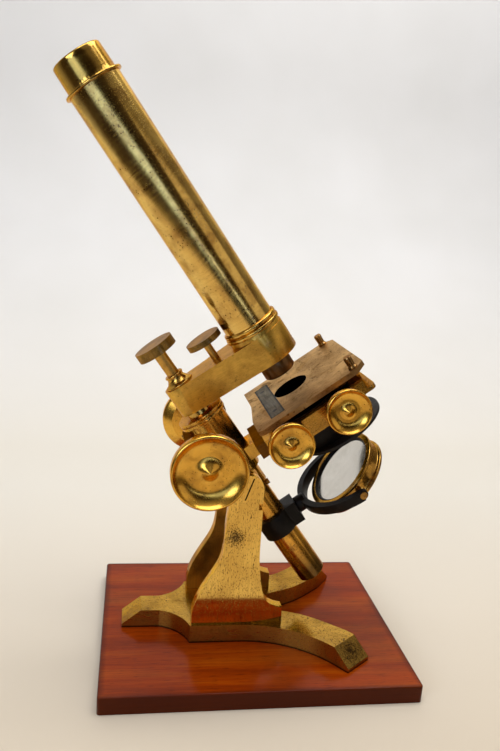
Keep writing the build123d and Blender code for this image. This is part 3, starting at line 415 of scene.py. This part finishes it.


# Cast brass, filed along the toes: straw-coloured and peppered on top, streaked on the sides, which are
# painted a darker brown as shade.
# A thin black line of painted shade runs along its lowest edge, where it meets the board.
FOOT_GRAIN = (12, 0.8, 0.8)
CONTACT_SHADE_FROM = 0.6 * MM
CONTACT_SHADE_TO = 1.8 * MM
TOE_STAIN = ((0.0675, -0.0620, 0.0215), 13.0 * MM)
foot_brass = brass(
    "foot_brass", "#d6a94f", "#9c7433", 0.17, FOOT_GRAIN,
    pits=0.95, stain=0.65, fine=0.9, crowd=0.9, relief=0.4, top_specks_shaded_sides=True, marks=[TOE_STAIN],
)
tree = foot_brass.node_tree
feed(tree.nodes["Principled BSDF"], {
    "Tangent": add(tree, "Tangent", direction_type="RADIAL", axis="Z"),
    "Anisotropic": 0.8,
    "Anisotropic Rotation": 0.25,
})
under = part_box("foot")[0][2]
height = add(tree, "SeparateXYZ", add(tree, "TexCoord", give="Object"), give="Z")
# Painted shade: near-black in the lowest millimetre or two, where the foot sits on the board.
contact_shade = add(tree, "MapRange", height, under + CONTACT_SHADE_FROM, under + CONTACT_SHADE_TO, 0.9, 0.0)
cover(foot_brass, contact_shade, "#150a04")
dress(foot_brass, "foot")

# Plate brass, brushed upright: pale gold and peppered, it mirrors the board's edge in a level line.
UPRIGHT_GRAIN = (0.5, 0.5, 22)
PLATE_STAIN = ((-0.0184, -0.0310, 0.0963), 8.5 * MM)
plate_brass = brass(
    "plate_brass", "#f8cc66", "#9a7230", 0.08, UPRIGHT_GRAIN,
    pits=0.9, stain=0.2, fine=0.7, tall=3.0, crowd=0.85, clouds="#deb153", relief=0.35, dull=0.05,
    marks=[PLATE_STAIN],
)
dress(plate_brass, "upright_near")

# The far plate is duller: its inner side shows an even brown gold.
far_brass = brass("far_brass", "#e0ae50", "#94702f", 0.34, UPRIGHT_GRAIN, pits=0.3, stain=0.3, relief=0.1)
dress(far_brass, "upright_far")
ease(0.5, "upright_near", "upright_far")

# Screw brass, turned and slotted: dull, brown round the edges.
SCREW_GRAIN = (4, 0.4, 0.4)
screw_brass = brass("screw_brass", "#b8893f", "#6f4d20", 0.30, SCREW_GRAIN, pits=0.5, stain=0.6)
dress(screw_brass, "stand_screws")

# Trunnion heads are filed flush with the plates and look like them; below the outer face, the slot is
# coloured near-black.
flush_brass = brass(
    "flush_brass", "#f0c25e", "#9a7230", 0.10, UPRIGHT_GRAIN,
    pits=0.8, stain=0.2, fine=0.7, tall=3.0, crowd=0.6, clouds="#d6a94e", relief=0.35, dull=0.05,
)
tree = flush_brass.node_tree
place = add(tree, "TexCoord", give="Object")
face = from_middle(tree, place, "Y", 0.0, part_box("trunnion_screws")[1][1])
cover(flush_brass, add(tree, "MapRange", face, 0.992, 0.998, 1.0, 0.0), "#070503")
dress(flush_brass, "trunnion_screws")


# Limb, bearing cap and tail
# A bar casting with a ringed sleeve at its head, filed smooth along its length.
# The tail below is drawn tube, closed by a turned plug.
def middle(name):
    """The centre of a node's box."""
    low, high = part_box(name)
    return tuple((low + high) / 2)


INCLINE = math.radians(36.8)
LIMB_TURN = (0.0, INCLINE, 0.0)
LIMB_AXIS = (-math.sin(INCLINE), 0.0, math.cos(INCLINE))
LIMB_GRAIN = (0.8, 0.8, 20)

# Cast brass, filed along its length: warm gold with brown between the rings.
limb_brass = brass("limb_brass", "#dcaa48", "#a87c33", 0.24, LIMB_GRAIN, LIMB_TURN, pits=0.5, stain=0.6)
dress(limb_brass, "limb")

# The bearing cap is bare brass, out of reach of the polishing cloth: matt brown.
cap_brass = brass(
    "cap_brass", "#7a5222", "#4a3012", 0.50, LIMB_GRAIN, LIMB_TURN, pits=0.6, stain=0.8, lacquer=0.0,
)
dress(cap_brass, "pinion_cap")
ease(0.4, "limb", "pinion_cap")

# Drawn brass: bright lengthwise streaks, with brown tarnish towards the lower end.
# Coordinates counted in metres give the height along the limb.
METRE = (1000, 1000, 1000)
TARNISH_FROM = 6.0 * MM
TARNISH_TO = 26.0 * MM
tail_brass = brass("tail_brass", "#f2b548", "#b07d30", 0.20, LIMB_GRAIN, LIMB_TURN, pits=0.6, stain=0.7)
tree = tail_brass.node_tree
end = Vector(LIMB_AXIS).dot(Vector(middle("tail_plug")))
height = add(tree, "SeparateXYZ", stretched(tree, METRE, LIMB_TURN), give="Z")
tarnish = add(tree, "MapRange", height, end + TARNISH_FROM, end + TARNISH_TO, 0.85, 0.0)
cover(tail_brass, tarnish, "#4d3a1c")
dress(tail_brass, "tail_tube", "tail_plug")
ease(0.3, "tail_plug")
dress(screw_brass, "pinion_cap_screws", "collar_stop_screw", "stage_screws")


# Stem and rack
# The stem is turned brass that slides in the sleeve.
# The rack let into it and the pinion that drives it are cut steel, oiled and a little dark.
OIL_FILM = (10, 10, 10)


def steel(name, light, dark, rough, grain, turn=(0.0, 0.0, 0.0)):
    """Steel with fine grinding marks and a faint brown oil film."""
    made, tree, shader = surface(name)
    brush = mottle(tree, grain, turn, rough=0.6)
    film = mottle(tree, OIL_FILM, detail=5.0, rough=0.65, warp=0.5)
    metal = lay(tree, rgb(dark), light, brush, 0.3, 0.7)
    feed(shader, {
        "Base Color": lay(tree, metal, "#4d4030", film, 0.5, 0.72, 0.0, 0.6),
        "Roughness": add(tree, "MapRange", film, 0.35, 0.7, rough, rough + 0.18),
        "Normal": add(tree, "Bump", Height=brush, Strength=0.15, Distance=FINISH_DEPTH),
        "Metallic": 1.0,
    })
    return made


# Turned brass, rubbed by sliding: bright, clean gold.
stem_brass = brass("stem_brass", "#dcb25a", "#a98139", 0.18, LIMB_GRAIN, LIMB_TURN, pits=0.4, stain=0.4)
dress(stem_brass, "stem")
ease(0.3, "stem")

# Bright steel, cut or wound: light grey, with an oily brown film in the teeth.
bright_steel = steel("bright_steel", "#b9b4ab", "#86817a", 0.28, LIMB_GRAIN, LIMB_TURN)
dress(bright_steel, "rack", "coarse_pinion", "x_pinion", "y_screw", "stage_rack", "nose_spring", "lever_pin")


# Coarse-focus knobs
# Two large dished knobs turned from brass bar, polished and lacquered.
# Each has a flat floor with a pointed finial, fine turning rings and a plain rim.
TURNED_TARNISH = (15, 15, 15)
TURNED_SPECK = (1.6, 1.6, 1.6)
HEAD_EDGE = 0.5 * MM


def turned_brass(
    name, light, dark, rough, centre, axis, *,
    pitch=0.9, rings=1.0, pits=0.55, relief=0.10, lacquer=0.3, head=None,
):
    """Brass with lathe rings about an axis, brown tarnish clouds and fine specks.

    Real rings are too fine to show, so they are drawn at a pitch of about a millimetre.
    A head, given by its top along the axis and its thickness, is brown with handling.
    """
    made, tree, shader = surface(name)
    place = add(tree, "TexCoord", give="Object")
    out = add(tree, "VectorMath", place, centre, operation="SUBTRACT")
    along = add(tree, "VectorMath", out, axis, operation="DOT_PRODUCT")
    lathe = add(tree, "CombineXYZ", from_line(tree, centre, axis), along)
    count = 1.0 / (pitch * MM)
    lathe = add(tree, "VectorMath", lathe, (count, count, 1.0), operation="MULTIPLY")
    ring = add(tree, "TexNoise", lathe, Scale=1.0, Detail=2.0, Roughness=0.6)
    cloud = mottle(tree, TURNED_TARNISH, detail=4.0, rough=0.6, warp=0.4)
    metal = lay(tree, rgb(dark), light, cloud, 0.32, 0.56)
    metal = lay(tree, metal, dark, ring, 0.40, 0.75, 0.0, 0.18 * rings)
    thick = add(tree, "MapRange", cloud, 0.36, 0.6, 1.0, 0.15)
    worn = add(tree, "Math", specks(tree, TURNED_SPECK, share=0.4, size=0.3), thick, operation="MULTIPLY")
    worn = add(tree, "Math", worn, pits, operation="MULTIPLY")
    metal = add(tree, "Mix", worn, metal, rgb("#4a2e12"), data_type="RGBA")
    if head:
        top, thickness = head
        along = add(tree, "VectorMath", place, axis, operation="DOT_PRODUCT")
        within = add(tree, "MapRange", along, top - thickness - HEAD_EDGE, top - thickness)
        handled = add(tree, "MapRange", cloud, 0.35, 0.6, 0.95, 0.5)
        handled = add(tree, "Math", within, handled, operation="MULTIPLY")
        metal = add(tree, "Mix", handled, metal, rgb("#6a5226"), data_type="RGBA")
    gloss = add(tree, "MapRange", ring, 0.3, 0.75, rough - 0.05 * rings, rough + 0.08 * rings)
    dulled = add(tree, "Math", worn, 0.2, operation="MULTIPLY")
    height = add(tree, "Math", ring, worn, operation="SUBTRACT")
    feed(shader, {
        "Base Color": metal,
        "Roughness": add(tree, "Math", gloss, dulled, operation="ADD"),
        "Normal": add(tree, "Bump", Height=height, Strength=relief, Distance=FINISH_DEPTH),
        "Metallic": 1.0,
        "Specular Tint": rgb(EDGE_GOLD),
        "Coat Weight": lacquer,
        "Coat Roughness": 0.1,
    })
    return made


# Polished brass bar: deep gold and satin, with soft crescents of light in the dish and a few brown specks.
CROSS = (0.0, 1.0, 0.0)
KNOB_GOLD = "#efb94a"
KNOB_SHADE = "#b98833"
KNOB_FINISH = {"relief": 0.03, "rings": 0.35}
knob_brass = turned_brass(
    "knob_brass", KNOB_GOLD, KNOB_SHADE, 0.23, middle("coarse_knob_near"), CROSS, **KNOB_FINISH,
)
dress(knob_brass, "coarse_knob_near", "coarse_knob_far")
ease(0.3, "coarse_knob_near", "coarse_knob_far")

# The finial's outline, as shares of its knob's radius: out from the axis, and back from the lip.
FINIAL = (
    (0.03, 0.028), (0.08, 0.070), (0.14, 0.118), (0.20, 0.168), (0.26, 0.208), (0.33, 0.234), (0.40, 0.2425),
)
TIP_BACK = 0.006
ROUND = 72
BASE_CORNER = math.radians(40.0)


def add_finial(knob, body, side, material):
    """A turned cone over a knob's floor, with its tip at the lip; the side is the way it faces along Y."""
    low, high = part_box(knob)
    centre = (low + high) / 2
    radius = (high.x - low.x) / 2
    lip = high.y if side > 0 else low.y
    points = [(centre.x, lip - side * TIP_BACK * radius, centre.z)]
    for share, back in FINIAL:
        for k in range(ROUND):
            angle = -side * 2 * math.pi * k / ROUND
            across = centre.x + share * radius * math.cos(angle)
            points.append((across, lip - side * back * radius, centre.z + share * radius * math.sin(angle)))
    rings = [[1 + ROUND * ring + k for k in range(ROUND)] for ring in range(len(FINIAL))]
    faces = [rings[-1][::-1]]
    for k in range(ROUND):
        after = (k + 1) % ROUND
        faces.append((0, rings[0][k], rings[0][after]))
        for inner, outer in zip(rings, rings[1:]):
            faces.append((inner[k], outer[k], outer[after], inner[after]))
    made = build_mesh("finial_" + knob, points, faces)
    made.data.set_sharp_from_angle(angle=BASE_CORNER)
    made.data.materials.append(material)
    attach(made, body)


add_finial("coarse_knob_near", "coarse_focus", -1, knob_brass)
add_finial("coarse_knob_far", "coarse_focus", 1, knob_brass)


# Arm and clamp
# The arm is a hollow casting that carries the tube and the focusing lever, polished all over.
# Its clamp has a dull milled head on a turned collar.
def top_of(name):
    """How far a node reaches along the limb's axis."""
    return max(Vector(LIMB_AXIS).dot(point.co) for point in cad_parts[name].data.vertices)


# Cast brass under thin lacquer: olive gold, with soft broad lights and few marks.
ARM_GRAIN = (12, 0.8, 0.8)
arm_brass = brass(
    "arm_brass", "#e4b54e", "#ac8030", 0.34, ARM_GRAIN, LIMB_TURN, pits=0.4, stain=0.2, relief=0.05,
)
dress(arm_brass, "arm", "lever_cover")
ease(0.6, "arm")
dress(bright_steel, "fine_lever")

# Milled brass, its shank still gold: the handled head has gone brown and dull.
MILLED_GOLD = "#d3a24a"
MILLED_SHADE = "#946c30"
CLAMP_HEAD = 7.0 * MM
head_brass = turned_brass(
    "head_brass", MILLED_GOLD, MILLED_SHADE, 0.32, middle("arm_clamp_screw"), LIMB_AXIS, pits=0.9,
    head=(top_of("arm_clamp_screw"), CLAMP_HEAD),
)
dress(head_brass, "arm_clamp_screw")

# Turned brass, polished: bright gold bands round the collar.
collar_brass = turned_brass("collar_brass", "#dcab4c", "#a1763a", 0.20, middle("clamp_collar"), LIMB_AXIS)
dress(collar_brass, "clamp_collar")
ease(0.3, "clamp_collar")


# Body tube and eyepiece
# Drawn brass tube, polished in the lathe and lacquered, specked with age.
# The eyepiece cap is turned and slides in the tube's mouth.

# Lathe-polished tube: pale gold, each reflection spread lengthwise by its fine rings.
tube_brass = turned_brass(
    "tube_brass", "#efc86c", "#ba9146", 0.17, middle("body_tube"), LIMB_AXIS,
    pitch=0.6, relief=0.3, pits=0.85, lacquer=0.5,
)
dress(tube_brass, "body_tube", "eyepiece_tube")

# Turned brass bar: a little deeper in colour than the tube, with sharp bright rims.
band_brass = turned_brass("band_brass", "#dfb253", "#a88038", 0.17, middle("tube_collar"), LIMB_AXIS)
dress(band_brass, "tube_collar", "eyepiece_cap")
ease(0.4, "tube_collar", "eyepiece_cap")

# Crown glass, ground and polished: clear, with a faint smear that dulls it.
CROWN_IOR = 1.52
SMEAR = (6, 3, 6)
glass, tree, shader = surface("lens_glass")
smear = mottle(tree, SMEAR, detail=4.0, rough=0.6, warp=0.5)
feed(shader, {
    "Base Color": lay(tree, rgb("#f2f5f3"), "#dfe4dd", smear, 0.3, 0.8),
    "Roughness": add(tree, "MapRange", smear, 0.4, 0.75, 0.02, 0.12),
    "Transmission Weight": 1.0,
    "IOR": CROWN_IOR,
})
dress(glass, "eye_lens", "field_lens", "objective_lens")


# Fine focus and objective
# A small milled head turns the fine screw against a lever.
# The sprung nose tube carries an objective in bronzed brass.

# Milled brass, as on the clamp: a gold shank under a brown head.
FINE_HEAD = 4.4 * MM
fine_brass = turned_brass(
    "fine_brass", MILLED_GOLD, MILLED_SHADE, 0.32, middle("fine_screw"), LIMB_AXIS, pits=0.9,
    head=(top_of("fine_screw"), FINE_HEAD),
)
dress(fine_brass, "fine_screw")

# Turned brass in the shade of the tube: a quiet brown gold.
nose_brass = turned_brass("nose_brass", "#c1964a", "#83602b", 0.24, middle("nose_tube"), LIMB_AXIS)
dress(nose_brass, "nose_tube")

# Bronzed brass: dark brown, with soft lights along its steps.
bronze = turned_brass("bronze", "#6c4c29", "#3c2916", 0.34, middle("objective"), LIMB_AXIS)
dress(bronze, "objective")
ease(0.3, "nose_tube", "objective")


# Mechanical stage
# Flat brass plates slide on each other, with a grey steel inset in the top plate.
# Two dished knobs drive them; a black-lined aperture runs down the optical axis.
STAGE_GRAIN = (15, 0.9, 0.9)
AXIS_POINT = middle("objective_lens")

# Top plate: brass dulled by handling to a matt tan, stained dark in patches and browner at the front.
TOP_LINING = 13.6 * MM
HANDLED_FRONT = -46.0 * MM
HANDLED_BACK = -14.0 * MM
HANDLED_RAGGED = 12.0 * MM
SMUDGE = (9, 9, 9)
stage_brass = brass(
    "stage_brass", "#d9b076", "#9a7442", 0.42, STAGE_GRAIN, LIMB_TURN,
    pits=0.9, stain=0.75, lacquer=0.0, edge="#fdf0dc", bore=(AXIS_POINT, LIMB_AXIS, TOP_LINING),
)
tree = stage_brass.node_tree
ahead = add(tree, "SeparateXYZ", add(tree, "TexCoord", give="Object"), give="Y")
ragged = add(tree, "MapRange", mottle(tree, SMUDGE), 0.3, 0.7, -HANDLED_RAGGED, HANDLED_RAGGED)
ahead = add(tree, "Math", ahead, ragged, operation="ADD")
handled = add(tree, "MapRange", ahead, HANDLED_FRONT, HANDLED_BACK, 0.6, 0.0)
cover(stage_brass, handled, "#7e5628")
out = from_line(tree, AXIS_POINT, LIMB_AXIS)
lined = add(tree, "MapRange", out, TOP_LINING, TOP_LINING + LINING_EDGE, 1.0, 0.0)
cover(stage_brass, lined, "#030303")
dress(stage_brass, "stage_top_plate")

# Base plate: brass still under its lacquer, a warm shiny gold.
BASE_LINING = 15.0 * MM
base_brass = brass(
    "base_brass", "#d9a340", "#a67a32", 0.24, STAGE_GRAIN, LIMB_TURN,
    pits=0.6, stain=0.4, bore=(AXIS_POINT, LIMB_AXIS, BASE_LINING),
)
dress(base_brass, "stage_base")

# The slide and guide bars between them are painted nearly black as shade, so that the gap looks deep.
SLIDE_LINING = 38.0 * MM
slide_shade_black = brass(
    "slide_shade_black", "#2c2013", "#191109", 0.36, STAGE_GRAIN, LIMB_TURN,
    pits=0.4, stain=0.3, lacquer=0.0, bore=(AXIS_POINT, LIMB_AXIS, SLIDE_LINING),
)
dress(slide_shade_black, "stage_x_slide", "guide_bar_left", "guide_bar_right")
ease(0.3, "stage_top_plate", "stage_x_slide", "stage_base")

# Inset: ground steel gone grey, with black dirt along its joint with the brass.
INSET_GRAIN = (0.9, 12, 0.9)
INSET_HALF = 5.7 * MM
ACROSS = Vector((math.cos(INCLINE), 0.0, math.sin(INCLINE)))
grey_steel = steel("grey_steel", "#7a6f58", "#4a4232", 0.42, INSET_GRAIN, LIMB_TURN)
tree = grey_steel.node_tree
place = stretched(tree, METRE, LIMB_TURN)
sides = from_middle(tree, place, "X", ACROSS.dot(Vector(middle("stage_inset"))), INSET_HALF)
ends = from_middle(tree, place, "Y", 0.0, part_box("stage_inset")[1][1])
sides = add(tree, "MapRange", sides, 0.74, 0.86, 0.0, 0.95)
ends = add(tree, "MapRange", ends, 0.96, 0.98, 0.0, 0.95)
cover(grey_steel, add(tree, "Math", sides, ends, operation="MAXIMUM"), "#15110d")
dress(grey_steel, "stage_inset")

# Dark steel screws: small near-black dots on the inset.
DOT_GRAIN = (3, 3, 3)
dark_steel = steel("dark_steel", "#3d362f", "#1f1a16", 0.42, DOT_GRAIN)
dress(dark_steel, "inset_screws")

# The bracket is bare cast brass: matt brown, as it is in the shade and never rubbed.
bracket_brass = brass(
    "bracket_brass", "#7d5220", "#4c3213", 0.50, STAGE_GRAIN, LIMB_TURN, pits=0.8, stain=0.8, lacquer=0.0,
)
dress(bracket_brass, "stage_bracket")
ease(0.4, "stage_bracket")

# The pins are turned brass, brown with handling, with small bright tips.
pin_brass = brass("pin_brass", "#a97f45", "#5a3f1e", 0.26, SCREW_GRAIN, pits=0.7, stain=0.8)
dress(pin_brass, "stage_pins")

# The drive knobs are like the coarse-focus knobs, with a few more specks.
for knob, body in (("x_knob", "x_drive"), ("y_knob", "y_drive")):
    drive_brass = turned_brass(
        knob + "_brass", KNOB_GOLD, KNOB_SHADE, 0.23, middle(knob), CROSS, pits=0.8, **KNOB_FINISH,
    )
    dress(drive_brass, knob)
    add_finial(knob, body, -1, drive_brass)
ease(0.3, "x_knob", "y_knob")


# Diaphragm
# A wheel of stops turns on a pivot in a carrier under the stage.
# Both are blackened so that no stray light reaches the slide.
RUB = (4, 4, 4)
RIPPLE = (1.2, 1.2, 1.2)
SHADED = 17.0 * MM
SHADED_EDGE = 1.0 * MM


def blacking(name, deep, rough, shine):
    """Black japan: a thin baked varnish, rubbed brown in small chips, with no shine inside the carrier."""
    made, tree, shader = surface(name)
    rub = mottle(tree, RUB, detail=5.0, rough=0.7, warp=0.6)
    tone = lay(tree, rgb(deep), "#17120e", rub, 0.3, 0.6)
    chip = add(tree, "MapRange", rub, 0.64, 0.72, 0.0, 0.7)
    ripple = mottle(tree, RIPPLE, detail=2.0)
    height = add(tree, "Math", ripple, chip, operation="SUBTRACT")
    out = from_line(tree, AXIS_POINT, LIMB_AXIS)
    feed(shader, {
        "Base Color": add(tree, "Mix", chip, tone, rgb("#4a3319"), data_type="RGBA"),
        "Roughness": add(tree, "MapRange", rub, 0.3, 0.75, rough, rough + 0.2),
        "Normal": add(tree, "Bump", Height=height, Strength=0.12, Distance=FINISH_DEPTH),
        "Specular IOR Level": add(tree, "MapRange", out, SHADED, SHADED + SHADED_EDGE, 0.0, shine),
    })
    return made


# Optical black: matt, almost no shine.
dull_black = blacking("dull_black", "#020202", 0.45, 0.3)
dress(dull_black, "diaphragm_wheel")

# Black japan: satin, with soft grey lights along its edges.
japan = blacking("black_japan", "#0b0908", 0.34, 0.15)
dress(japan, "diaphragm_carrier")
dress(screw_brass, "diaphragm_pivot")
ease(0.3, "diaphragm_wheel", "diaphragm_carrier")


# Mirror
# A black collar slides on the tail and carries a japanned crescent on a stem.
# Silvered flat and concave glasses sit back to back in a brass cell with black bezels.
dress(japan, "mirror_collar", "mirror_gimbal", "gimbal_stem", "mirror_bezels")

# Turned brass: a gold ring between the black bezels, well specked.
cell_brass = turned_brass(
    "cell_brass", "#c9983f", "#86622a", 0.22, middle("mirror_cell"), LIMB_AXIS, pits=0.9,
)
dress(cell_brass, "mirror_cell")
dress(screw_brass, "mirror_pivot_screws")
ease(0.4, "mirror_collar", "mirror_gimbal", "mirror_cell", "mirror_bezels")

# Silvered glass: a bright soft mirror, hazed, with brown flecks where the silver has gone.
HAZE = (12, 12, 12)
FLECK = (1.5, 1.5, 1.5)
silver, tree, shader = surface("silvered_glass")
haze = mottle(tree, HAZE, detail=5.0, rough=0.65, warp=0.4)
fleck = mottle(tree, FLECK, detail=2.0)
tone = lay(tree, rgb("#d9d3c6"), "#efeae0", haze, 0.3, 0.7)
feed(shader, {
    "Base Color": lay(tree, tone, "#6d6250", fleck, 0.70, 0.77, 0.0, 0.7),
    "Roughness": add(tree, "MapRange", haze, 0.3, 0.75, 0.06, 0.22),
    "Metallic": 1.0,
    "Coat Weight": 0.5,
    "Coat Roughness": 0.03,
})
dress(silver, "mirror_flat", "mirror_concave")
